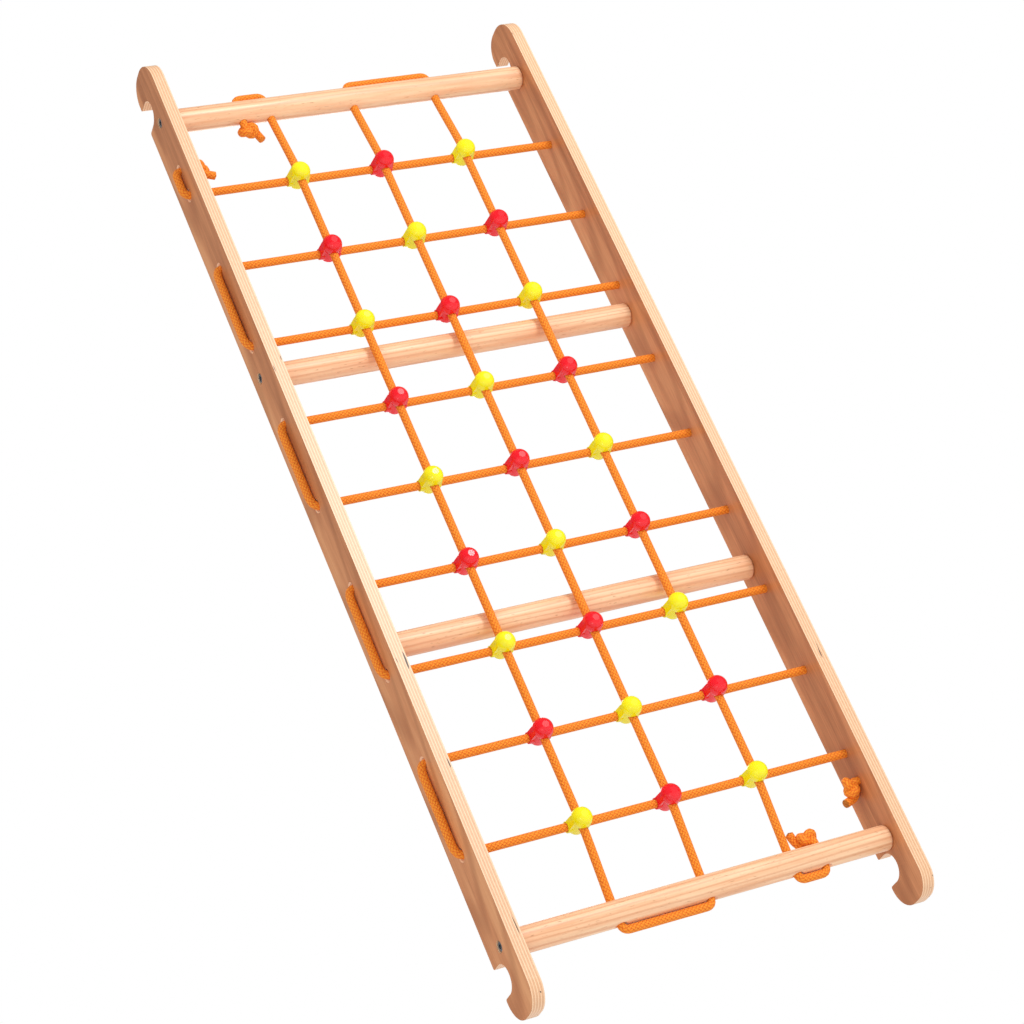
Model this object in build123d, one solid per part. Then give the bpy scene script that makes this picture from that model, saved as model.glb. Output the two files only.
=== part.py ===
from build123d import *

import math
import os

# Cargo climbing net for wall bars, in millimetres.
# Two plywood rails hook over two rungs of the wall bars. Four round dowels join the rails.
# One cross rope zigzags between the rails in level rows, and one long rope runs up and down
# in columns. A ball connector is threaded on both ropes wherever they cross.
#
# Origin: on the axis of the rung that the upper hooks hold, midway between the rails.
# +Z is up, +Y points at the wall bars and X runs across the net.

# Rails
OVERALL_WIDTH = 600.0
RAIL_LENGTH = 1500.0
RAIL_DEPTH = 80.0
RAIL_THICKNESS = 18.0
UPPER_FRONT_RADIUS = 40.0
UPPER_REAR_RADIUS = 30.0
LOWER_FRONT_RADIUS = 32.0
LOWER_REAR_RADIUS = 36.0

# Hook slots, open to the rear, one near each end of a rail
SLOT_RADIUS = 20.0
SLOT_TO_REAR = 18.0
SLOT_TO_END = 60.0
SLOT_CORNER_RADIUS = 3.0
FLAT_BETWEEN_ROUNDINGS = 0.5

# Dowels
DOWEL_DIAMETER = 35.0
DOWEL_END_ROUNDING = 4.0
END_DOWEL_TO_END = 95.0
END_DOWEL_SETBACK = 38.0
MIDDLE_DOWEL_NAMES = ["upper_middle_dowel", "lower_middle_dowel"]
MIDDLE_DOWEL_GAP = 4.0

# Screws and threaded inserts that hold the dowels
SCREW_DIAMETER = 8.0
SCREW_LENGTH = 30.0
SCREW_HEAD_DIAMETER = 13.0
SCREW_HEAD_HEIGHT = 8.0
SCREW_HEAD_ROUNDING = 0.8
SCREW_TIP_CHAMFER = 0.8
SCREW_TIP_ROOM = 2.0
HEX_SOCKET_FLATS = 6.0
HEX_SOCKET_DEPTH = 4.0
HEAD_RECESS = 1.0
COUNTERBORE_DIAMETER = 16.0
SCREW_HOLE_DIAMETER = 8.6
INSERT_DIAMETER = 12.0
INSERT_LENGTH = 25.0
INSERT_RECESS = 0.5
INSERT_CLEARANCE = 0.05
THREAD_CLEARANCE = 0.05

# Ropes
ROPE_DIAMETER = 12.0
ROPE_CLEARANCE = 0.3
ROPE_WEB = 1.5
ROW_COUNT = 9
ROW_TO_DOWEL = 129.0
COLUMN_COUNT = 3
COLUMN_PITCH = 133.0
CROSS_ROPE_SETBACK = 40.0
RAIL_END_HOLE_OFFSET = 42.0
DOWEL_END_HOLE_OFFSET = 44.0
MOUTH_DEPTH = 3.7
LOOP_SLACK = 0.3
LEAD_BEND_RADIUS = 40.0
LEAD_ROOM = 4.0
KNOT_DIAMETER = 30.0
KNOT_TAIL_LENGTH = 34.0
CROSS_ROPE_TAILS = [(0.6, 0, -0.8), (-0.6, 0, -0.8)]
LONG_ROPE_TAILS = [(0.6, 0, -0.8), (-0.8, 0, 0.6)]

# Ball connectors
BALL_DIAMETER = 28.5
BALL_NOSE = 7.0
BARREL_DIAMETER = 24.0
BARREL_HEEL = 10.0
BARREL_HEEL_ROUNDING = 6.0
COLLAR_DIAMETER = 20.0
COLLAR_END_DIAMETER = 15.6
COLLAR_SPAN = 31.0
SKIRT_THICKNESS = 13.0
SKIRT_BURIAL = 1.0
DIMPLE_DIAMETER = 10.0
DIMPLE_DEPTH = 0.8

# How far a cutting tool passes beyond the surface it cuts
CUT_MARGIN = 1.0

# How a cylinder stands: centred on its plane's origin and rising along its plane's normal
STANDING = (Align.CENTER, Align.CENTER, Align.MIN)

# Levels and depths that follow from the sizes above
ROPE_RADIUS = ROPE_DIAMETER / 2
BORE_RADIUS = ROPE_RADIUS + ROPE_CLEARANCE
BEND_RADIUS = BORE_RADIUS + MOUTH_DEPTH
DOWEL_RADIUS = DOWEL_DIAMETER / 2

TOP_Z = SLOT_TO_END
BOTTOM_Z = TOP_Z - RAIL_LENGTH
MIDDLE_Z = (TOP_Z + BOTTOM_Z) / 2
REAR_Y = SLOT_TO_REAR
FRONT_Y = REAR_Y - RAIL_DEPTH
RAIL_OUTER_X = OVERALL_WIDTH / 2
RAIL_INNER_X = RAIL_OUTER_X - RAIL_THICKNESS
LOOP_X = RAIL_OUTER_X + ROPE_RADIUS + LOOP_SLACK

CROSS_ROPE_Y = FRONT_Y + CROSS_ROPE_SETBACK
LONG_ROPE_Y = CROSS_ROPE_Y - ROPE_DIAMETER - ROPE_WEB
END_DOWEL_Y = FRONT_Y + END_DOWEL_SETBACK
MIDDLE_DOWEL_Y = LONG_ROPE_Y + ROPE_RADIUS + MIDDLE_DOWEL_GAP + DOWEL_RADIUS

SLOT_LEVELS = [0.0, BOTTOM_Z + SLOT_TO_END]
TOP_DOWEL_Z = TOP_Z - END_DOWEL_TO_END
BOTTOM_DOWEL_Z = BOTTOM_Z + END_DOWEL_TO_END
ROW_PITCH = (TOP_DOWEL_Z - BOTTOM_DOWEL_Z - 2 * ROW_TO_DOWEL) / (ROW_COUNT - 1)
ROW_LEVELS = [TOP_DOWEL_Z - ROW_TO_DOWEL - row * ROW_PITCH for row in range(ROW_COUNT)]
COLUMN_PLACES = [(column - (COLUMN_COUNT - 1) / 2) * COLUMN_PITCH for column in range(COLUMN_COUNT)]


def dowel_places():
    """Name, depth and level of every dowel, from the top down."""
    step = (TOP_DOWEL_Z - BOTTOM_DOWEL_Z) / (len(MIDDLE_DOWEL_NAMES) + 1)
    places = [("top_dowel", END_DOWEL_Y, TOP_DOWEL_Z)]
    for index, name in enumerate(MIDDLE_DOWEL_NAMES):
        places.append((name, MIDDLE_DOWEL_Y, TOP_DOWEL_Z - (index + 1) * step))
    places.append(("bottom_dowel", END_DOWEL_Y, BOTTOM_DOWEL_Z))
    return places


def end_holes():
    """Where the two ends of the long rope pass through the end dowels."""
    return COLUMN_PLACES[0] - DOWEL_END_HOLE_OFFSET, COLUMN_PLACES[-1] + DOWEL_END_HOLE_OFFSET


def rope_bore(start, direction, length):
    """Tool for a rope hole that is countersunk where it leaves the wood, length beyond its start."""
    wide = BEND_RADIUS + CUT_MARGIN
    outline = Polyline(
        (0, -CUT_MARGIN),
        (BORE_RADIUS, -CUT_MARGIN),
        (BORE_RADIUS, length - MOUTH_DEPTH),
        (wide, length + CUT_MARGIN),
        (0, length + CUT_MARGIN),
        close=True,
    )
    tool = revolve(Plane.XZ * make_face(outline), Axis.Z)
    return Plane(origin=start, z_dir=direction) * tool


def rounded_outline():
    """A rail seen from its side: a plank with four different corners."""
    outline = Pos((FRONT_Y + REAR_Y) / 2, MIDDLE_Z) * Rectangle(RAIL_DEPTH, RAIL_LENGTH)
    rear_room = SLOT_TO_END - SLOT_RADIUS - SLOT_CORNER_RADIUS - FLAT_BETWEEN_ROUNDINGS
    corners = [
        (FRONT_Y, TOP_Z, UPPER_FRONT_RADIUS),
        (REAR_Y, TOP_Z, min(UPPER_REAR_RADIUS, rear_room)),
        (FRONT_Y, BOTTOM_Z, LOWER_FRONT_RADIUS),
        (REAR_Y, BOTTOM_Z, min(LOWER_REAR_RADIUS, rear_room)),
    ]
    for y, z, radius in corners:
        corner = outline.vertices().sort_by_distance((y, z, 0))[:1]
        outline = fillet(corner, radius)
    return outline


def rail_profile():
    """The rail's outline with a round-ended slot for each rung."""
    profile = rounded_outline()
    for level in SLOT_LEVELS:
        profile -= Pos(0, level) * Circle(SLOT_RADIUS)
        profile -= Pos(SLOT_TO_REAR, level) * Rectangle(2 * SLOT_TO_REAR, 2 * SLOT_RADIUS)
    mouths = [(REAR_Y, level + side * SLOT_RADIUS, 0) for level in SLOT_LEVELS for side in (-1, 1)]
    for mouth in mouths:
        profile = fillet(profile.vertices().sort_by_distance(mouth)[:1], SLOT_CORNER_RADIUS)
    return profile


def make_rail(side):
    """One rail: side is -1 for the left rail and 1 for the right rail."""
    inner = side * RAIL_INNER_X
    start = min(inner, side * RAIL_OUTER_X)
    rail = extrude(Plane.YZ.offset(start) * rail_profile(), RAIL_THICKNESS)
    outward = (side, 0, 0)
    for _, y, z in dowel_places():
        hole = Cylinder(SCREW_HOLE_DIAMETER / 2, RAIL_THICKNESS + 2 * CUT_MARGIN, align=STANDING)
        rail -= Plane(origin=(inner - side * CUT_MARGIN, y, z), z_dir=outward) * hole
        recess = SCREW_HEAD_HEIGHT + HEAD_RECESS
        bore = Cylinder(COUNTERBORE_DIAMETER / 2, recess + CUT_MARGIN, align=STANDING)
        rail -= Plane(origin=(side * (RAIL_OUTER_X - recess), y, z), z_dir=outward) * bore
    end_level = ROW_LEVELS[0] + RAIL_END_HOLE_OFFSET
    if side > 0:
        end_level = ROW_LEVELS[-1] - RAIL_END_HOLE_OFFSET
    for level in ROW_LEVELS + [end_level]:
        rail -= rope_bore((inner, CROSS_ROPE_Y, level), outward, RAIL_THICKNESS)
    return rail


def rope_hole_places(name):
    """Across places and outward direction of the rope holes through a dowel."""
    first, last = end_holes()
    if name == "top_dowel":
        return [first] + COLUMN_PLACES, 1
    if name == "bottom_dowel":
        return COLUMN_PLACES + [last], -1
    return [], 1


def make_dowel(name, y, z):
    """A round bar between the rails, with a blind insert hole in each end."""
    length = 2 * RAIL_INNER_X
    dowel = Cylinder(DOWEL_RADIUS, length)
    dowel = fillet(dowel.edges().filter_by(GeomType.CIRCLE), DOWEL_END_ROUNDING)
    dowel = Plane(origin=(0, y, z), x_dir=(0, 1, 0), z_dir=(1, 0, 0)) * dowel
    depth = INSERT_RECESS + INSERT_LENGTH
    tip_room = SCREW_LENGTH - (RAIL_THICKNESS - SCREW_HEAD_HEIGHT - HEAD_RECESS) + SCREW_TIP_ROOM
    for side in (-1, 1):
        inward = (-side, 0, 0)
        face = Plane(origin=(side * (RAIL_INNER_X + CUT_MARGIN), y, z), z_dir=inward)
        pocket_radius = INSERT_DIAMETER / 2 + INSERT_CLEARANCE
        dowel -= face * Cylinder(pocket_radius, depth + CUT_MARGIN, align=STANDING)
        drill_depth = max(depth, tip_room) + CUT_MARGIN
        dowel -= face * Cylinder(SCREW_HOLE_DIAMETER / 2, drill_depth, align=STANDING)
    places, upward = rope_hole_places(name)
    for x in places:
        dowel -= rope_bore((x, y, z - upward * DOWEL_RADIUS), (0, 0, upward), DOWEL_DIAMETER)
    return dowel


def make_screw(side, y, z):
    """A socket cap screw from a rail's outer face into the dowel's insert."""
    head = Cylinder(SCREW_HEAD_DIAMETER / 2, SCREW_HEAD_HEIGHT, align=STANDING)
    head = fillet(head.edges().filter_by(GeomType.CIRCLE).sort_by(Axis.Z)[-1:], SCREW_HEAD_ROUNDING)
    socket = extrude(RegularPolygon(HEX_SOCKET_FLATS / math.sqrt(3), 6), HEX_SOCKET_DEPTH + CUT_MARGIN)
    head -= Pos(0, 0, SCREW_HEAD_HEIGHT - HEX_SOCKET_DEPTH) * socket
    shank = Cylinder(SCREW_DIAMETER / 2, SCREW_LENGTH, align=(Align.CENTER, Align.CENTER, Align.MAX))
    shank = chamfer(shank.edges().filter_by(GeomType.CIRCLE).sort_by(Axis.Z)[:1], SCREW_TIP_CHAMFER)
    seat = side * (RAIL_OUTER_X - SCREW_HEAD_HEIGHT - HEAD_RECESS)
    return Plane(origin=(seat, y, z), z_dir=(side, 0, 0)) * (head + shank)


def make_insert(side, y, z):
    """A threaded insert sunk in a dowel's end and seated on the pocket's floor."""
    body = Cylinder(INSERT_DIAMETER / 2, INSERT_LENGTH, align=STANDING)
    body -= Cylinder(SCREW_DIAMETER / 2 + THREAD_CLEARANCE, INSERT_LENGTH, align=STANDING)
    mouth = side * (RAIL_INNER_X - INSERT_RECESS)
    return Plane(origin=(mouth, y, z), z_dir=(-side, 0, 0)) * body


def make_collar():
    """The sleeve round the cross rope, thickest in the middle, lying along X."""
    end_radius = COLLAR_END_DIAMETER / 2
    half = Cone(COLLAR_DIAMETER / 2, end_radius, COLLAR_SPAN / 2, align=STANDING)
    return Rot(0, 90, 0) * half + Rot(0, -90, 0) * half


def make_skirt(nose_y):
    """The flat web that widens from the ball to the collar's two ends."""
    ball_reach = BALL_DIAMETER / 2 - SKIRT_BURIAL
    collar_reach = COLLAR_SPAN / 2 - SKIRT_BURIAL / 2
    collar_y = CROSS_ROPE_Y - COLLAR_END_DIAMETER / 2 + SKIRT_BURIAL
    outline = Polyline(
        (-collar_reach, CROSS_ROPE_Y),
        (-collar_reach, collar_y),
        (-ball_reach, nose_y),
        (ball_reach, nose_y),
        (collar_reach, collar_y),
        (collar_reach, CROSS_ROPE_Y),
        close=True,
    )
    return extrude(make_face(outline), SKIRT_THICKNESS / 2, both=True)


def make_connector(x, z):
    """A ball connector: a round nose over the long rope and a sleeve round the cross rope."""
    nose_y = LONG_ROPE_Y - BALL_NOSE
    heel_y = CROSS_ROPE_Y + BARREL_HEEL
    barrel = Cylinder(BARREL_DIAMETER / 2, heel_y - nose_y, align=STANDING)
    barrel = fillet(barrel.edges().filter_by(GeomType.CIRCLE).sort_by(Axis.Z)[:1], BARREL_HEEL_ROUNDING)
    connector = Plane(origin=(0, heel_y, 0), x_dir=(1, 0, 1), z_dir=(0, -1, 0)) * barrel
    connector += Plane(origin=(0, nose_y, 0), x_dir=(1, 0, 1), z_dir=(0, -1, 0)) * Sphere(BALL_DIAMETER / 2)
    connector += Pos(0, CROSS_ROPE_Y, 0) * make_collar()
    connector += make_skirt(nose_y)
    connector -= Pos(0, CROSS_ROPE_Y, 0) * Rot(0, 90, 0) * Cylinder(BORE_RADIUS, COLLAR_SPAN + 2 * CUT_MARGIN)
    connector -= Pos(0, LONG_ROPE_Y, 0) * Cylinder(BORE_RADIUS, BALL_DIAMETER + 2 * CUT_MARGIN)
    tip_y = nose_y - BALL_DIAMETER / 2
    dimple = Plane(origin=(0, tip_y + DIMPLE_DEPTH, 0), z_dir=(0, -1, 0))
    connector -= dimple * Cylinder(DIMPLE_DIAMETER / 2, DIMPLE_DEPTH * 2, align=STANDING)
    return Pos(x, 0, z) * connector


def cross_rope_route():
    """Corners and bend radii of the rope that zigzags between the rails."""
    knot = RAIL_INNER_X - ROPE_CLEARANCE - KNOT_DIAMETER / 2
    first_level = ROW_LEVELS[0] + RAIL_END_HOLE_OFFSET
    last_level = ROW_LEVELS[-1] - RAIL_END_HOLE_OFFSET
    points = [(-knot, CROSS_ROPE_Y, first_level), (-LOOP_X, CROSS_ROPE_Y, first_level)]
    side = -1
    for level in ROW_LEVELS:
        points.append((side * LOOP_X, CROSS_ROPE_Y, level))
        points.append((-side * LOOP_X, CROSS_ROPE_Y, level))
        side = -side
    points.append((side * LOOP_X, CROSS_ROPE_Y, last_level))
    points.append((side * knot, CROSS_ROPE_Y, last_level))
    return points, [BEND_RADIUS] * (len(points) - 2)


def long_rope_route():
    """Corners and bend radii of the rope that runs up and down in columns."""
    first, last = end_holes()
    knot = DOWEL_RADIUS + ROPE_CLEARANCE + KNOT_DIAMETER / 2
    over = DOWEL_RADIUS + ROPE_CLEARANCE + ROPE_RADIUS
    bead_edge = BALL_DIAMETER / 2 + LEAD_ROOM
    wood_edge = DOWEL_RADIUS + LEAD_ROOM
    top, bottom = TOP_DOWEL_Z, BOTTOM_DOWEL_Z
    points = [(first, END_DOWEL_Y, top - knot), (first, END_DOWEL_Y, top + over)]
    radii = [BEND_RADIUS]
    downward = True
    for x in COLUMN_PLACES:
        column = [
            (x, END_DOWEL_Y, top + over),
            (x, END_DOWEL_Y, top - wood_edge),
            (x, LONG_ROPE_Y, ROW_LEVELS[0] + bead_edge),
            (x, LONG_ROPE_Y, ROW_LEVELS[-1] - bead_edge),
            (x, END_DOWEL_Y, bottom + wood_edge),
            (x, END_DOWEL_Y, bottom - over),
        ]
        points += column if downward else column[::-1]
        radii += [BEND_RADIUS] + [LEAD_BEND_RADIUS] * 4 + [BEND_RADIUS]
        downward = not downward
    points += [(last, END_DOWEL_Y, bottom - over), (last, END_DOWEL_Y, bottom + knot)]
    radii.append(BEND_RADIUS)
    return points, radii


def make_rope(name, points, radii, tails):
    """A rope along its route with a stopper knot at each end."""
    path = FilletPolyline(*points, radius=radii)
    section = Plane(origin=path @ 0, z_dir=path % 0) * Circle(ROPE_RADIUS)
    rope = sweep(section, path=path)
    expected = math.pi * ROPE_RADIUS**2 * path.length
    ratio = rope.volume / expected
    print(f"{name}: {path.length:.0f} long, bend radii {sorted(set(radii))}, volume ratio {ratio:.4f}")
    for place, direction in zip((points[0], points[-1]), tails):
        square_to_tail = (-direction[2], 0, direction[0])
        rope += Plane(origin=place, x_dir=(0, 1, 0), z_dir=square_to_tail) * Sphere(KNOT_DIAMETER / 2)
        tail = Cylinder(ROPE_RADIUS, KNOT_TAIL_LENGTH, align=STANDING)
        rope += Plane(origin=place, z_dir=direction) * tail
    return rope


def save(name, solids):
    """Write one node: a single solid, or a group of separate ones."""
    shape = solids[0] if len(solids) == 1 else Compound(children=solids)
    export_step(shape, os.path.join("parts", name + ".step"))


def main():
    os.makedirs("parts", exist_ok=True)

    save("left_rail", [make_rail(-1)])
    save("right_rail", [make_rail(1)])

    for name, y, z in dowel_places():
        save(name, [make_dowel(name, y, z)])
        save(name + "_screws", [make_screw(side, y, z) for side in (-1, 1)])
        save(name + "_inserts", [make_insert(side, y, z) for side in (-1, 1)])

    for row, level in enumerate(ROW_LEVELS, start=1):
        for column, place in enumerate(COLUMN_PLACES, start=1):
            save(f"connector_r{row}_c{column}", [make_connector(place, level)])

    cross_points, cross_radii = cross_rope_route()
    save("cross_rope", [make_rope("cross_rope", cross_points, cross_radii, CROSS_ROPE_TAILS)])

    long_points, long_radii = long_rope_route()
    save("long_rope", [make_rope("long_rope", long_points, long_radii, LONG_ROPE_TAILS)])


main()
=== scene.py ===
# %% [markdown]
# # A cargo climbing net
# The net hangs on wall bars. Two plywood rails hook over the rungs, four round dowels
# join them, and two orange ropes cross in ball connectors. The CAD model is loaded
# first, and everything that follows is finish, rope and light on that fixed frame.

# %% Load the frame
import math

import bpy
from mathutils import Matrix, Vector


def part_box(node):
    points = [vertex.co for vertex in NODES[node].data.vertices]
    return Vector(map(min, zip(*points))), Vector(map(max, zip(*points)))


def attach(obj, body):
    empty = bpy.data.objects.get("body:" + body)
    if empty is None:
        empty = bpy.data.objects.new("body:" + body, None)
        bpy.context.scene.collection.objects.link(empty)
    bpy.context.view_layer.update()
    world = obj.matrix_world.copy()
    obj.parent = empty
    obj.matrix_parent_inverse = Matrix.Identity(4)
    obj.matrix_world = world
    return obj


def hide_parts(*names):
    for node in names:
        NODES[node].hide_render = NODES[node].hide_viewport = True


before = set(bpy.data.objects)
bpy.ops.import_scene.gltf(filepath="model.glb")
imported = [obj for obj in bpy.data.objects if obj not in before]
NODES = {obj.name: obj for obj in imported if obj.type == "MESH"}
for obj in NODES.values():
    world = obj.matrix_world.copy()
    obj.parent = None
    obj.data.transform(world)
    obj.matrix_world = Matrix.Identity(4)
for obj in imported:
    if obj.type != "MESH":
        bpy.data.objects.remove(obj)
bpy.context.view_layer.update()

MM = 0.001

# %% [markdown]
# ## Camera
# The net is seen from low down on its front left side, with the camera leaning over, so
# the rails run up the picture at a slant. A long lens keeps the rails nearly parallel.
# The lean is a turn about the camera's own line of sight.

# %% Camera
CAMERA_PLACE = Vector((-1.6766, -3.0489, -2.2876))
CAMERA_AIM = Vector((-0.0386, -0.0320, -0.7623))
CAMERA_LEAN = math.radians(-24.05)
CAMERA_LENS = 97.0

camera_data = bpy.data.cameras.new("camera")
camera_data.lens = CAMERA_LENS
camera = bpy.data.objects.new("camera", camera_data)
bpy.context.scene.collection.objects.link(camera)
sight = (CAMERA_AIM - CAMERA_PLACE).to_track_quat("-Z", "Y").to_matrix().to_4x4()
camera.matrix_world = Matrix.Translation(CAMERA_PLACE) @ sight @ Matrix.Rotation(CAMERA_LEAN, 4, "Z")
bpy.context.scene.camera = camera
print("camera at", tuple(round(x, 3) for x in camera.location))

# %% [markdown]
# ## Floor and light
# The net hangs in a white room. The room looks bright white to the camera, but it lights
# the net more softly and shows only weakly as a reflection, which keeps the colours full.
# Three wide lamps add the rest, so that round pieces get a light and a dark side. The
# floor lies well below the net, because the net hangs.

# %% Floor and light
ROOM_COLOUR = (1.0, 1.0, 1.0, 1)
ROOM_LIGHT = 0.95
ROOM_MIRRORED = 0.2
ROOM_WHITE = 1.0
FLOOR_LEVEL = -2.6
FLOOR_SIZE = 60.0


def add_lamp(name, place, aim, size, power):
    data = bpy.data.lights.new(name, "AREA")
    data.shape = "DISK"
    data.size = size
    data.energy = power
    lamp = bpy.data.objects.new(name, data)
    bpy.context.scene.collection.objects.link(lamp)
    turn = (Vector(aim) - Vector(place)).to_track_quat("-Z", "Y").to_matrix().to_4x4()
    lamp.matrix_world = Matrix.Translation(place) @ turn
    return lamp


bpy.context.scene.view_settings.view_transform = "Standard"
world = bpy.data.worlds.new("room")
bpy.context.scene.world = world
world.use_nodes = True
room = world.node_tree
background = room.nodes["Background"]
background.inputs["Color"].default_value = ROOM_COLOUR
ray = room.nodes.new("ShaderNodeLightPath")
mirrored = room.nodes.new("ShaderNodeMapRange")
mirrored.inputs["To Min"].default_value = ROOM_LIGHT
mirrored.inputs["To Max"].default_value = ROOM_MIRRORED
room.links.new(ray.outputs["Is Glossy Ray"], mirrored.inputs["Value"])
strength = room.nodes.new("ShaderNodeMapRange")
strength.inputs["To Max"].default_value = ROOM_WHITE
room.links.new(mirrored.outputs["Result"], strength.inputs["To Min"])
room.links.new(ray.outputs["Is Camera Ray"], strength.inputs["Value"])
room.links.new(strength.outputs["Result"], background.inputs["Strength"])
add_lamp("lamp_front", (0.9, -3.0, 0.6), (0, 0, -0.6), 1.0, 45)
add_lamp("lamp_below", (-1.6, -1.8, -3.0), (0, 0, -1.3), 1.4, 28)
add_lamp("lamp_rear", (0.8, 3.0, 0.8), (0, 0, -0.6), 2.0, 25)
bpy.ops.object.select_all(action="DESELECT")
bpy.ops.mesh.primitive_plane_add(size=FLOOR_SIZE, location=(0, 0, FLOOR_LEVEL))
floor = bpy.context.object
floor.name = "floor"
print("floor at", FLOOR_LEVEL)

# %% [markdown]
# ## A helper for finishes
# Each finish is a small node graph that ends in one Principled shader. The helper makes
# the shader and short functions add nodes to it, so that every finish below reads as a
# list of what the real surface shows.

# %% Finish helper


class Finish:
    def __init__(self, name, **sockets):
        self.material = bpy.data.materials.new(name)
        self.material.use_nodes = True
        self.tree = self.material.node_tree
        self.shader = self.tree.nodes["Principled BSDF"]
        for socket, value in sockets.items():
            self.shader.inputs[socket.replace("_", " ")].default_value = value

    def node(self, kind, **settings):
        made = self.tree.nodes.new(kind)
        for key, value in settings.items():
            setattr(made, key, value)
        return made

    def link(self, source, target):
        self.tree.links.new(source, target)

    def coords(self, kind="Object", scale=(1, 1, 1)):
        texture = self.node("ShaderNodeTexCoord")
        mapping = self.node("ShaderNodeMapping")
        mapping.inputs["Scale"].default_value = scale
        self.link(texture.outputs[kind], mapping.inputs["Vector"])
        return mapping.outputs["Vector"]

    def noise(self, vector, scale, detail=3.0, roughness=0.5):
        made = self.node("ShaderNodeTexNoise")
        made.inputs["Scale"].default_value = scale
        made.inputs["Detail"].default_value = detail
        made.inputs["Roughness"].default_value = roughness
        self.link(vector, made.inputs["Vector"])
        return made.outputs["Fac"]

    def ramp(self, value, *stops):
        made = self.node("ShaderNodeValToRGB")
        while len(made.color_ramp.elements) < len(stops):
            made.color_ramp.elements.new(0.5)
        for element, (place, colour) in zip(made.color_ramp.elements, stops):
            element.position = place
            element.color = (*colour, 1)
        self.link(value, made.inputs["Fac"])
        return made.outputs["Color"]

    def math(self, operation, first, second=None):
        made = self.node("ShaderNodeMath", operation=operation)
        for index, value in enumerate((first, second)):
            if value is None:
                continue
            if isinstance(value, (int, float)):
                made.inputs[index].default_value = value
            else:
                self.link(value, made.inputs[index])
        return made.outputs["Value"]

    def mix(self, factor, first, second):
        made = self.node("ShaderNodeMix", data_type="RGBA")
        for index, value in ((0, factor), (6, first), (7, second)):
            socket = made.inputs[index]
            if isinstance(value, (int, float)):
                socket.default_value = value
            elif isinstance(value, tuple):
                socket.default_value = (*value, 1)
            else:
                self.link(value, socket)
        return made.outputs[2]

    def colour(self, value):
        self.link(value, self.shader.inputs["Base Color"])

    def roughness(self, value):
        self.link(value, self.shader.inputs["Roughness"])

    def bump(self, height, distance, strength=1.0):
        made = self.node("ShaderNodeBump")
        made.inputs["Distance"].default_value = distance
        made.inputs["Strength"].default_value = strength
        self.link(height, made.inputs["Height"])
        self.link(made.outputs["Normal"], self.shader.inputs["Normal"])


print("finish helper ready")

# %% [markdown]
# ## Plywood
# The rails are cut from one thick board. Its faces are a thin red-brown veneer whose grain
# runs along the rail. Every cut edge shows the plies, alternate layers of long grain and
# end grain, with a dark glue line between them. The plies are counted across the board's
# thickness, so the stripes come from the X coordinate, and a surface that faces along X
# is veneer.

# %% Plywood
PLY_COUNT = 9
VENEER_DARK = (0.38, 0.115, 0.035)
VENEER_MID = (0.66, 0.25, 0.095)
VENEER_LIGHT = (0.84, 0.39, 0.165)
PLY_PALE = (1.0, 0.68, 0.42)
PLY_DARK = (0.80, 0.42, 0.22)
GLUE_LINE = (0.24, 0.08, 0.035)
# Near-black painted shade for the core voids in the cut edges.
VOID_PAINTED_SHADE = (0.07, 0.03, 0.015)


def growth_lines(finish, vector, scale, distortion, width):
    """Dark lines of growth rings that a saw or a lathe has cut through at a slant."""
    rings = finish.node("ShaderNodeTexWave", wave_type="RINGS", rings_direction="X")
    finish.link(vector, rings.inputs["Vector"])
    settings = {"Scale": scale, "Distortion": distortion, "Detail": 2, "Detail Scale": 0.5}
    for socket, value in settings.items():
        rings.inputs[socket].default_value = value
    return finish.ramp(rings.outputs["Fac"], (0.0, (1, 1, 1)), (width, (0, 0, 0)))


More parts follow.
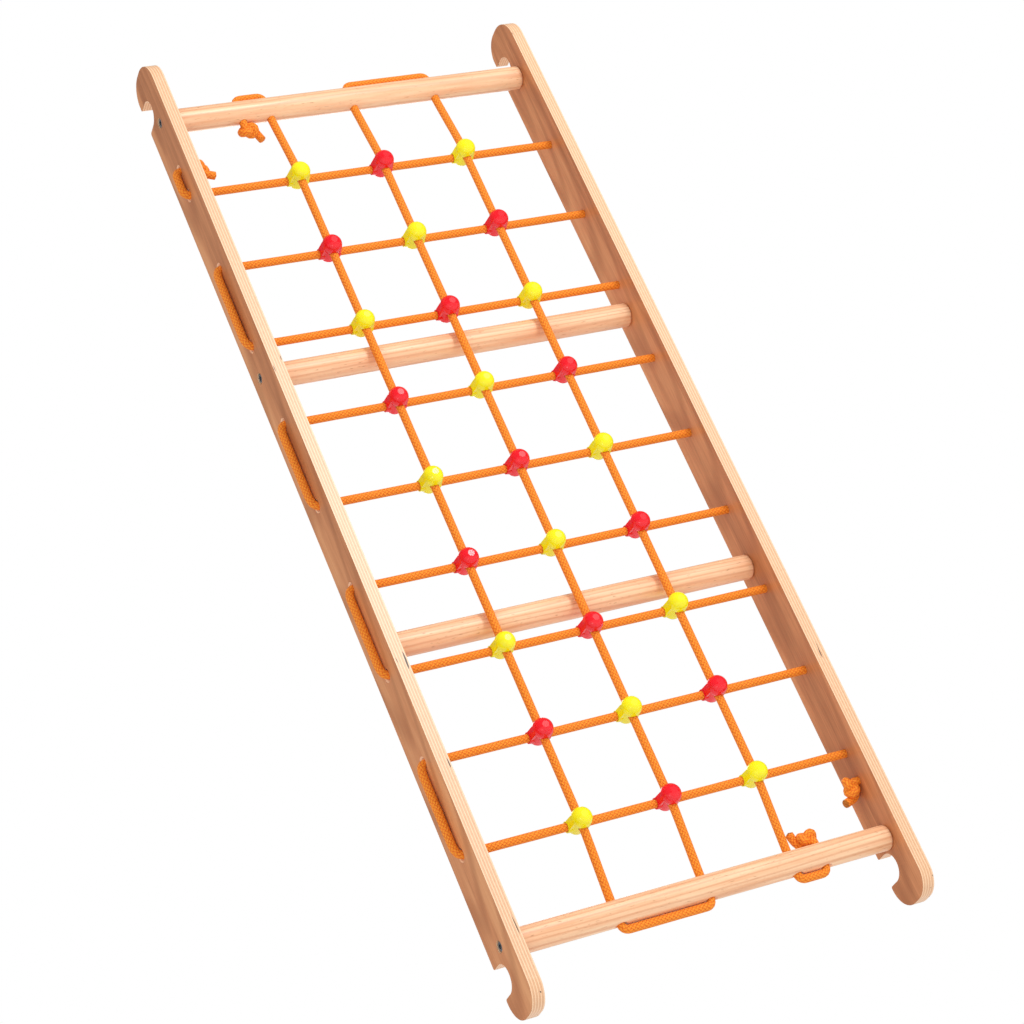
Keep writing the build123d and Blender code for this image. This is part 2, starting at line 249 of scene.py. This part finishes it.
def plywood(name, outer_x, thickness):
    finish = Finish(name, Roughness=0.42, Coat_Weight=0.25, Coat_Roughness=0.3)
    position = finish.coords()
    long_grain = finish.coords(scale=(1, 1, 0.045))
    broad = finish.noise(long_grain, 26, 4, 0.55)
    fine = finish.noise(long_grain, 380, 3, 0.6)
    blotch = finish.noise(position, 7, 2)
    figure = finish.math("ADD", finish.math("MULTIPLY", broad, 0.7), finish.math("MULTIPLY", fine, 0.3))
    veneer = finish.ramp(figure, (0.32, VENEER_DARK), (0.5, VENEER_MID), (0.68, VENEER_LIGHT))
    veneer = finish.mix(finish.math("MULTIPLY", blotch, 0.2), veneer, VENEER_LIGHT)
    lines = growth_lines(finish, finish.coords(scale=(1, 1, 0.12)), 16, 14, 0.5)
    veneer = finish.mix(finish.math("MULTIPLY", lines, 0.4), veneer, VENEER_DARK)

    split = finish.node("ShaderNodeSeparateXYZ")
    finish.link(position, split.inputs["Vector"])
    across = finish.math("SUBTRACT", split.outputs["X"], outer_x)
    ply = finish.math("MULTIPLY", finish.math("ABSOLUTE", across), PLY_COUNT / thickness / 2)
    phase = finish.math("FRACT", ply)
    stripes = finish.ramp(
        phase,
        (0.0, GLUE_LINE),
        (0.07, PLY_PALE),
        (0.45, PLY_PALE),
        (0.50, GLUE_LINE),
        (0.56, PLY_DARK),
        (0.95, PLY_DARK),
        (1.0, GLUE_LINE),
    )
    pores = finish.noise(finish.coords(scale=(1, 1, 0.25)), 900, 2)
    # Here and there a core void in the edge is painted near-black, as painted shade in the hole.
    void_shade_mask = finish.noise(finish.coords(scale=(1.0, 1.0, 0.12)), 160, 1)
    edge = finish.mix(0.35, stripes, finish.ramp(pores, (0.3, PLY_DARK), (0.7, PLY_PALE)))
    edge = finish.mix(finish.ramp(void_shade_mask, (0.735, (0, 0, 0)), (0.755, (1, 1, 1))), edge, VOID_PAINTED_SHADE)

    facing = finish.node("ShaderNodeNewGeometry")
    normal = finish.node("ShaderNodeSeparateXYZ")
    finish.link(facing.outputs["Normal"], normal.inputs["Vector"])
    is_face = finish.math("GREATER_THAN", finish.math("ABSOLUTE", normal.outputs["X"]), 0.9)
    finish.colour(finish.mix(is_face, edge, veneer))
    finish.bump(finish.math("ADD", fine, finish.math("MULTIPLY", pores, 0.5)), 0.00012, 0.6)
    return finish.material


def dress(node, *materials):
    """Gives a CAD node its finish."""
    slots = NODES[node].data.materials
    slots.clear()
    for material in materials:
        slots.append(material)


for side in ("left", "right"):
    low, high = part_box(side + "_rail")
    outer = low.x if side == "left" else high.x
    dress(side + "_rail", plywood(side + "_plywood", outer, high.x - low.x))
print("rails in plywood with", PLY_COUNT, "plies")

# %% [markdown]
# ## Beech
# The dowels are turned from pale beech. The grain runs along each dowel, and beech shows
# short dark flecks along it. Stretching a noise along X gives the grain, and a second
# noise that is cut off high leaves only its peaks, which are the flecks.

# %% Beech
BEECH_PALE = (1.0, 0.66, 0.40)
BEECH_MID = (0.90, 0.46, 0.24)
BEECH_LINE = (0.74, 0.34, 0.17)
BEECH_FLECK = (0.42, 0.16, 0.065)


def beech():
    finish = Finish("beech", Roughness=0.4, Coat_Weight=0.2, Coat_Roughness=0.35)
    grain = finish.noise(finish.coords(scale=(0.05, 1, 1)), 140, 4, 0.6)
    flecks = finish.noise(finish.coords(scale=(0.14, 1, 1)), 700, 1)
    wood = finish.ramp(grain, (0.3, BEECH_MID), (0.65, BEECH_PALE))
    lines = growth_lines(finish, finish.coords(scale=(0.07, 1, 1)), 55, 9, 0.45)
    wood = finish.mix(finish.math("MULTIPLY", lines, 0.6), wood, BEECH_LINE)
    fleck = finish.ramp(flecks, (0.66, (0, 0, 0)), (0.76, (0.6, 0.6, 0.6)))
    finish.colour(finish.mix(fleck, wood, BEECH_FLECK))
    finish.bump(grain, 0.0001, 0.5)
    return finish.material


DOWELS = ["top_dowel", "upper_middle_dowel", "lower_middle_dowel", "bottom_dowel"]
beech_finish = beech()
for name in DOWELS:
    dress(name, beech_finish)
print("dowels in beech", len(DOWELS))

# %% [markdown]
# ## Screws and inserts
# The socket cap screws are zinc-plated steel, and the inserts inside the dowels are
# turned brass. Both are plain metals with a faint unevenness in their polish.

# %% Metals


def metal(name, colour, scale, roughness):
    finish = Finish(name, Metallic=1.0, Base_Color=(*colour, 1))
    patches = finish.noise(finish.coords(), scale, 3)
    low, high = roughness
    finish.roughness(finish.ramp(patches, (0.3, (low,) * 3), (0.7, (high,) * 3)))
    finish.bump(patches, 0.00005, 0.4)
    return finish.material


steel = metal("zinc_steel", (0.52, 0.53, 0.55), 900, (0.22, 0.42))
brass = metal("turned_brass", (0.72, 0.52, 0.24), 700, (0.25, 0.4))
for name in DOWELS:
    dress(name + "_screws", steel)
    dress(name + "_inserts", brass)
print("screws and inserts dressed")

# %% [markdown]
# ## Ball connectors
# The connectors are moulded in glossy plastic, yellow and red in a chequered order. The
# plastic has a faint orange-peel surface and a thin clear gloss.

# %% Ball connectors
YELLOW = (1.0, 0.92, 0.0)
RED = (0.95, 0.0, 0.012)


def moulded(name, colour):
    finish = Finish(name, Roughness=0.25, Coat_Weight=0.3, Coat_Roughness=0.08, Subsurface_Weight=0.04)
    tone = finish.noise(finish.coords(), 60, 2)
    darker = tuple(c * 0.93 for c in colour)
    finish.colour(finish.ramp(tone, (0.35, darker), (0.65, colour)))
    finish.bump(tone, 0.0001, 0.1)
    return finish.material


plastics = [moulded("yellow_plastic", YELLOW), moulded("red_plastic", RED)]
ROWS = 9
COLUMNS = 3
for row in range(1, ROWS + 1):
    for column in range(1, COLUMNS + 1):
        dress(f"connector_r{row}_c{column}", plastics[(row + column) % 2])
print("connectors dressed", ROWS * COLUMNS)

# %% [markdown]
# ## Rope material
# The rope is a braided cover over a core. Its strands wind both ways and pass over and
# under each other, which leaves a pattern of small lozenges. The pattern follows the rope,
# so it reads the rope's own UV map: U is the distance along it in metres and V is the way
# round. Two slanted counts, one for each winding, say which strand a point is on, and
# whether the two counts add up to an even number says which strand lies on top.

# %% Rope material
ROPE_LIGHT = (1.0, 0.32, 0.014)
# Deeper orange of darker fibres, and painted shade in the valleys between strands.
ROPE_DEEP_AND_CREASE_SHADE = (0.86, 0.13, 0.0)
STRANDS_EACH_WAY = 7
LOZENGE_LENGTH = 0.0062


def braid():
    finish = Finish("braided_rope", Roughness=0.75, Sheen_Weight=0.12, Sheen_Roughness=0.5)
    finish.shader.inputs["Sheen Tint"].default_value = (1.0, 0.55, 0.25, 1)
    texture = finish.node("ShaderNodeTexCoord")
    split = finish.node("ShaderNodeSeparateXYZ")
    finish.link(texture.outputs["UV"], split.inputs["Vector"])
    along = finish.math("DIVIDE", split.outputs["X"], LOZENGE_LENGTH)
    around = finish.math("MULTIPLY", split.outputs["Y"], STRANDS_EACH_WAY)
    right = finish.math("ADD", around, along)
    left = finish.math("SUBTRACT", around, along)
    ridges = []
    for count in (right, left):
        across = finish.math("FRACT", count)
        ridges.append(finish.math("SINE", finish.math("MULTIPLY", across, math.pi)))
    total = finish.math("ADD", finish.math("FLOOR", right), finish.math("FLOOR", left))
    on_top = finish.math("PINGPONG", total, 1.0)
    upper = finish.math("MULTIPLY", ridges[0], on_top)
    lower = finish.math("MULTIPLY", ridges[1], finish.math("SUBTRACT", 1.0, on_top))
    height = finish.math("ADD", upper, lower)
    fuzz = finish.noise(finish.coords("UV", (1500, 40, 1)), 1.0, 2)
    # The braid height paints the valleys between strands darker as painted shade, and the fuzz noise
    # adds random fibre tone.
    shade = finish.math("ADD", finish.math("MULTIPLY", height, 0.75), finish.math("MULTIPLY", fuzz, 0.4))
    finish.colour(finish.ramp(shade, (0.35, ROPE_DEEP_AND_CREASE_SHADE), (0.8, ROPE_LIGHT)))
    finish.bump(shade, 0.0008, 1.0)
    return finish.material


rope_finish = braid()
print("rope with", 2 * STRANDS_EACH_WAY, "strands")

# %% [markdown]
# ## How a rope is made
# A tight rope follows a smooth spline. The route's points are given bend by bend, with one
# more point each side of a bend, so that the run beside it stays straight. The spline is
# read back as points, and a round section is carried along them without twisting. The
# section swells a little here and there, as a soft rope does. Its two ends are closed with
# a shallow dome, where the fibres were melted together.

# %% Rope maker
ROPE_DIAMETER = 12 * MM
ROPE_SIDES = 16
ROPE_STEP = 3 * MM
ROPE_UNEVEN = 0.015
SWELLS_PER_METRE = (61, 23)
DOME_HEIGHT = 0.4
SPLINE_STEPS = 24


def spline_points(name, route):
    """The route's smooth line, as points."""
    data = bpy.data.curves.new(name + "_line", "CURVE")
    data.dimensions = "3D"
    data.resolution_u = SPLINE_STEPS
    spline = data.splines.new("NURBS")
    spline.points.add(len(route) - 1)
    for point, place in zip(spline.points, route):
        point.co = (*place, 1)
    spline.order_u = 3
    spline.use_endpoint_u = True
    line = bpy.data.objects.new(name + "_line", data)
    bpy.context.scene.collection.objects.link(line)
    bpy.context.view_layer.update()
    mesh = bpy.data.meshes.new_from_object(line)
    points = [vertex.co.copy() for vertex in mesh.vertices]
    bpy.data.objects.remove(line)
    bpy.data.meshes.remove(mesh)
    return points


def even_steps(points, step):
    """The same line with points a fixed distance apart."""
    lengths = [0.0]
    for a, b in zip(points, points[1:]):
        lengths.append(lengths[-1] + (b - a).length)
    count = int(lengths[-1] / step)
    even = []
    index = 0
    for number in range(count + 1):
        target = lengths[-1] * number / count
        while index < len(points) - 2 and lengths[index + 1] < target:
            index += 1
        span = max(lengths[index + 1] - lengths[index], 1e-9)
        even.append(points[index].lerp(points[index + 1], (target - lengths[index]) / span))
    return even, lengths[-1]


def make_rope(name, route):
    """A closed tube along the route, with a UV map in metres along and turns around."""
    line, length = even_steps(spline_points(name, route), ROPE_STEP)
    radius = ROPE_DIAMETER / 2
    vertices, faces, places = [], [], []
    side = (line[1] - line[0]).orthogonal().normalized()
    for number, place in enumerate(line):
        ahead = line[min(number + 1, len(line) - 1)] - line[max(number - 1, 0)]
        ahead.normalize()
        side = (side - ahead * side.dot(ahead)).normalized()
        other = ahead.cross(side)
        travelled = number * length / (len(line) - 1)
        quick, slow = SWELLS_PER_METRE
        swell = math.sin(travelled * quick) * math.sin(travelled * slow + 1) * ROPE_UNEVEN
        size = radius * (1 + swell - ROPE_UNEVEN)
        for turn in range(ROPE_SIDES):
            angle = 2 * math.pi * turn / ROPE_SIDES
            vertices.append(place + (side * math.cos(angle) + other * math.sin(angle)) * size)
        places.append(travelled)
    rings = len(line)
    for ring in range(rings - 1):
        for turn in range(ROPE_SIDES):
            following = (turn + 1) % ROPE_SIDES
            start = ring * ROPE_SIDES
            ahead_of = start + ROPE_SIDES
            faces.append((start + turn, start + following, ahead_of + following, ahead_of + turn))
    first_tip = len(vertices)
    vertices.append(line[0] - (line[1] - line[0]).normalized() * radius * DOME_HEIGHT)
    vertices.append(line[-1] + (line[-1] - line[-2]).normalized() * radius * DOME_HEIGHT)
    last = (rings - 1) * ROPE_SIDES
    for turn in range(ROPE_SIDES):
        following = (turn + 1) % ROPE_SIDES
        faces.append((following, turn, first_tip))
        faces.append((last + turn, last + following, first_tip + 1))
    mesh = bpy.data.meshes.new(name)
    mesh.from_pydata(vertices, [], faces)
    layer = mesh.uv_layers.new(name="along_and_around")
    for polygon in mesh.polygons:
        turns = [mesh.loops[i].vertex_index % ROPE_SIDES for i in polygon.loop_indices]
        for index in polygon.loop_indices:
            vertex = mesh.loops[index].vertex_index
            turn = vertex % ROPE_SIDES
            if turn == 0 and max(turns) == ROPE_SIDES - 1:
                turn = ROPE_SIDES
            travelled = places[vertex // ROPE_SIDES] if vertex < first_tip else 0.0
            layer.data[index].uv = (travelled, turn / ROPE_SIDES)
        polygon.use_smooth = True
    mesh.update()
    rope = bpy.data.objects.new(name, mesh)
    bpy.context.scene.collection.objects.link(rope)
    mesh.materials.append(rope_finish)
    print(name, round(length, 3), "m long,", len(mesh.polygons), "faces")
    return rope


# %% [markdown]
# ## The stopper knot
# Each rope end is stopped by an overhand knot: a loop with the end passed through it once.
# A knot of that kind follows the curve of a trefoil, which three short formulas give, cut
# open at its lowest lobe. One cut end runs into the wood, and the other turns aside
# against the wood and sticks out as the tail.

# %% Stopper knot
KNOT_SCALE = 3.7 * MM
KNOT_DEPTH = 1.25
ENTRY_GAP = 0.5
TAIL_GAP = 0.9
KNOT_POINTS = 18
TAIL_POINTS = [
    (-1.9, -1.1, -1.0),
    (-3.1, -0.8, -1.5),
    (-3.9, 0.7, -1.7),
    (-4.5, 2.6, -1.7),
    (-5.0, 4.4, -1.5),
]
KNOT_SEAT = KNOT_SCALE + ROPE_DIAMETER / 2


def trefoil(t):
    across = math.sin(t) + 2 * math.sin(2 * t)
    high = math.cos(t) - 2 * math.cos(2 * t)
    return Vector((across, high, -math.sin(3 * t)))


def overhand(wood, away, aside):
    """Points of a knot that stands on the wood, from the rope's hole to the tail's end."""
    depth = away.cross(aside)
    start = math.pi + ENTRY_GAP
    turn = 2 * math.pi - ENTRY_GAP - TAIL_GAP
    shape = [trefoil(start + turn * number / (KNOT_POINTS - 1)) for number in range(KNOT_POINTS)]
    shape += [Vector(point) for point in TAIL_POINTS]
    entry = shape[0]
    points = []
    for local in shape:
        across = (entry.x - local.x) * KNOT_SCALE
        high = local.y * KNOT_SCALE + KNOT_SEAT
        deep = (local.z - entry.z) * KNOT_SCALE * KNOT_DEPTH
        points.append(wood + aside * across + away * high + depth * deep)
    return points


print("knot stands", round(KNOT_SEAT * 1000), "mm off the wood at its middle")

# %% [markdown]
# ## The cross rope
# It starts at a knot inside the left rail, goes out, down and in again, and then crosses
# from rail to rail in level rows, with a loop outside the rail between one row and the
# next. It ends at a knot inside the right rail. The rows are where the connectors are.

# %% Cross rope
BEND_LEAD = 20 * MM
LOOP_LEAD = 36 * MM
LOOP_GAP = 0.3 * MM
END_HOLE_OFFSET = 42 * MM


def middle(node):
    low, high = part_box(node)
    return (low + high) / 2


X, Z = Vector((1, 0, 0)), Vector((0, 0, 1))
cross_depth = middle("cross_rope").y
rail_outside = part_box("right_rail")[1].x
rail_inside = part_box("right_rail")[0].x
loop_out = rail_outside + ROPE_DIAMETER / 2 + LOOP_GAP
row_levels = [middle(f"connector_r{row}_c1").z for row in range(1, ROWS + 1)]


def side_place(side, out, level):
    return Vector((side * out, cross_depth, level))


def short_loop(side, hole_level, row_level):
    """From the hole, outside the rail, to the nearest row."""
    return [
        side_place(side, loop_out - BEND_LEAD, hole_level),
        side_place(side, loop_out, hole_level),
        side_place(side, loop_out, (hole_level + row_level) / 2),
        side_place(side, loop_out, row_level),
        side_place(side, loop_out - BEND_LEAD, row_level),
    ]


def long_loop(side, upper, lower):
    """From one row, outside the rail, to the next row."""
    return [
        side_place(side, loop_out - BEND_LEAD, upper),
        side_place(side, loop_out, upper),
        side_place(side, loop_out, upper - LOOP_LEAD),
        side_place(side, loop_out, lower + LOOP_LEAD),
        side_place(side, loop_out, lower),
        side_place(side, loop_out - BEND_LEAD, lower),
    ]


first_hole = row_levels[0] + END_HOLE_OFFSET
last_hole = row_levels[-1] - END_HOLE_OFFSET
cross_route = overhand(side_place(-1, rail_inside, first_hole), X, -Z)[::-1]
cross_route.append(side_place(-1, rail_inside, first_hole))
cross_route += short_loop(-1, first_hole, row_levels[0])
side = 1
for upper, lower in zip(row_levels, row_levels[1:]):
    cross_route += long_loop(side, upper, lower)
    side = -side
cross_route += short_loop(side, row_levels[-1], last_hole)
cross_route.append(side_place(side, rail_inside, last_hole))
cross_route += overhand(side_place(side, rail_inside, last_hole), -X, -Z)

cross_rope = make_rope("cross_rope_braided", cross_route)
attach(cross_rope, "root")
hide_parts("cross_rope")

# %% [markdown]
# ## The long rope
# It runs up and down in columns. It starts at a knot under the top dowel, goes up through
# the dowel and over it to the first column, down to the bottom dowel, under it, and up
# again. Between an end dowel and the nearest connector it slants forward, because the
# connectors hold it in front of the cross rope.

# %% Long rope
STRAND_GAP = 1.5 * MM
DOWEL_HOLE_OFFSET = 44 * MM
SLANT_CLEAR = 4 * MM
SLANT_LEAD = 8 * MM
long_depth = cross_depth - ROPE_DIAMETER - STRAND_GAP
dowel_depth = middle("top_dowel").y
top_level = middle("top_dowel").z
bottom_level = middle("bottom_dowel").z
dowel_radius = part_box("top_dowel")[1].z - top_level
turn_height = dowel_radius + ROPE_DIAMETER / 2 + LOOP_GAP
bead_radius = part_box("connector_r1_c1")[1].z - row_levels[0]
columns = [middle(f"connector_r1_c{column}").x for column in range(1, COLUMNS + 1)]


def at_dowel(x, level):
    return Vector((x, dowel_depth, level))


def at_bead(x, level):
    return Vector((x, long_depth, level))


def column_down(x):
    """One column, from the turn over the top dowel to the turn under the bottom one."""
    wood = dowel_radius + SLANT_CLEAR
    bead = bead_radius + SLANT_CLEAR
    return [
        at_dowel(x, top_level + turn_height),
        at_dowel(x, top_level + turn_height - BEND_LEAD),
        at_dowel(x, top_level - wood + SLANT_LEAD),
        at_dowel(x, top_level - wood),
        at_bead(x, row_levels[0] + bead),
        at_bead(x, row_levels[0] + bead - SLANT_LEAD),
        at_bead(x, row_levels[-1] - bead + SLANT_LEAD),
        at_bead(x, row_levels[-1] - bead),
        at_dowel(x, bottom_level + wood),
        at_dowel(x, bottom_level + wood - SLANT_LEAD),
        at_dowel(x, bottom_level - turn_height + BEND_LEAD),
        at_dowel(x, bottom_level - turn_height),
    ]


def turn_between(x, following, level):
    """The stretch over or under an end dowel, without its two corners."""
    reach = min(BEND_LEAD, abs(following - x) / 2)
    direction = math.copysign(reach, following - x)
    return [at_dowel(x + direction, level), at_dowel(following - direction, level)]


top_turn = top_level + turn_height
bottom_turn = bottom_level - turn_height
start_x = columns[0] - DOWEL_HOLE_OFFSET
end_x = columns[-1] + DOWEL_HOLE_OFFSET
long_route = overhand(at_dowel(start_x, top_level - dowel_radius), -Z, X)[::-1]
long_route += [at_dowel(start_x, top_turn - BEND_LEAD), at_dowel(start_x, top_turn)]
long_route += turn_between(start_x, columns[0], top_turn)
for number, x in enumerate(columns):
    going_down = number % 2 == 0
    column = column_down(x)
    long_route += column if going_down else column[::-1]
    following = columns[number + 1] if number + 1 < len(columns) else end_x
    long_route += turn_between(x, following, bottom_turn if going_down else top_turn)
long_route += [at_dowel(end_x, bottom_turn), at_dowel(end_x, bottom_turn + BEND_LEAD)]
long_route += overhand(at_dowel(end_x, bottom_level + dowel_radius), Z, -X)

long_rope = make_rope("long_rope_braided", long_route)
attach(long_rope, "root")
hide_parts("long_rope")

# %% Update the scene
bpy.context.view_layer.update()
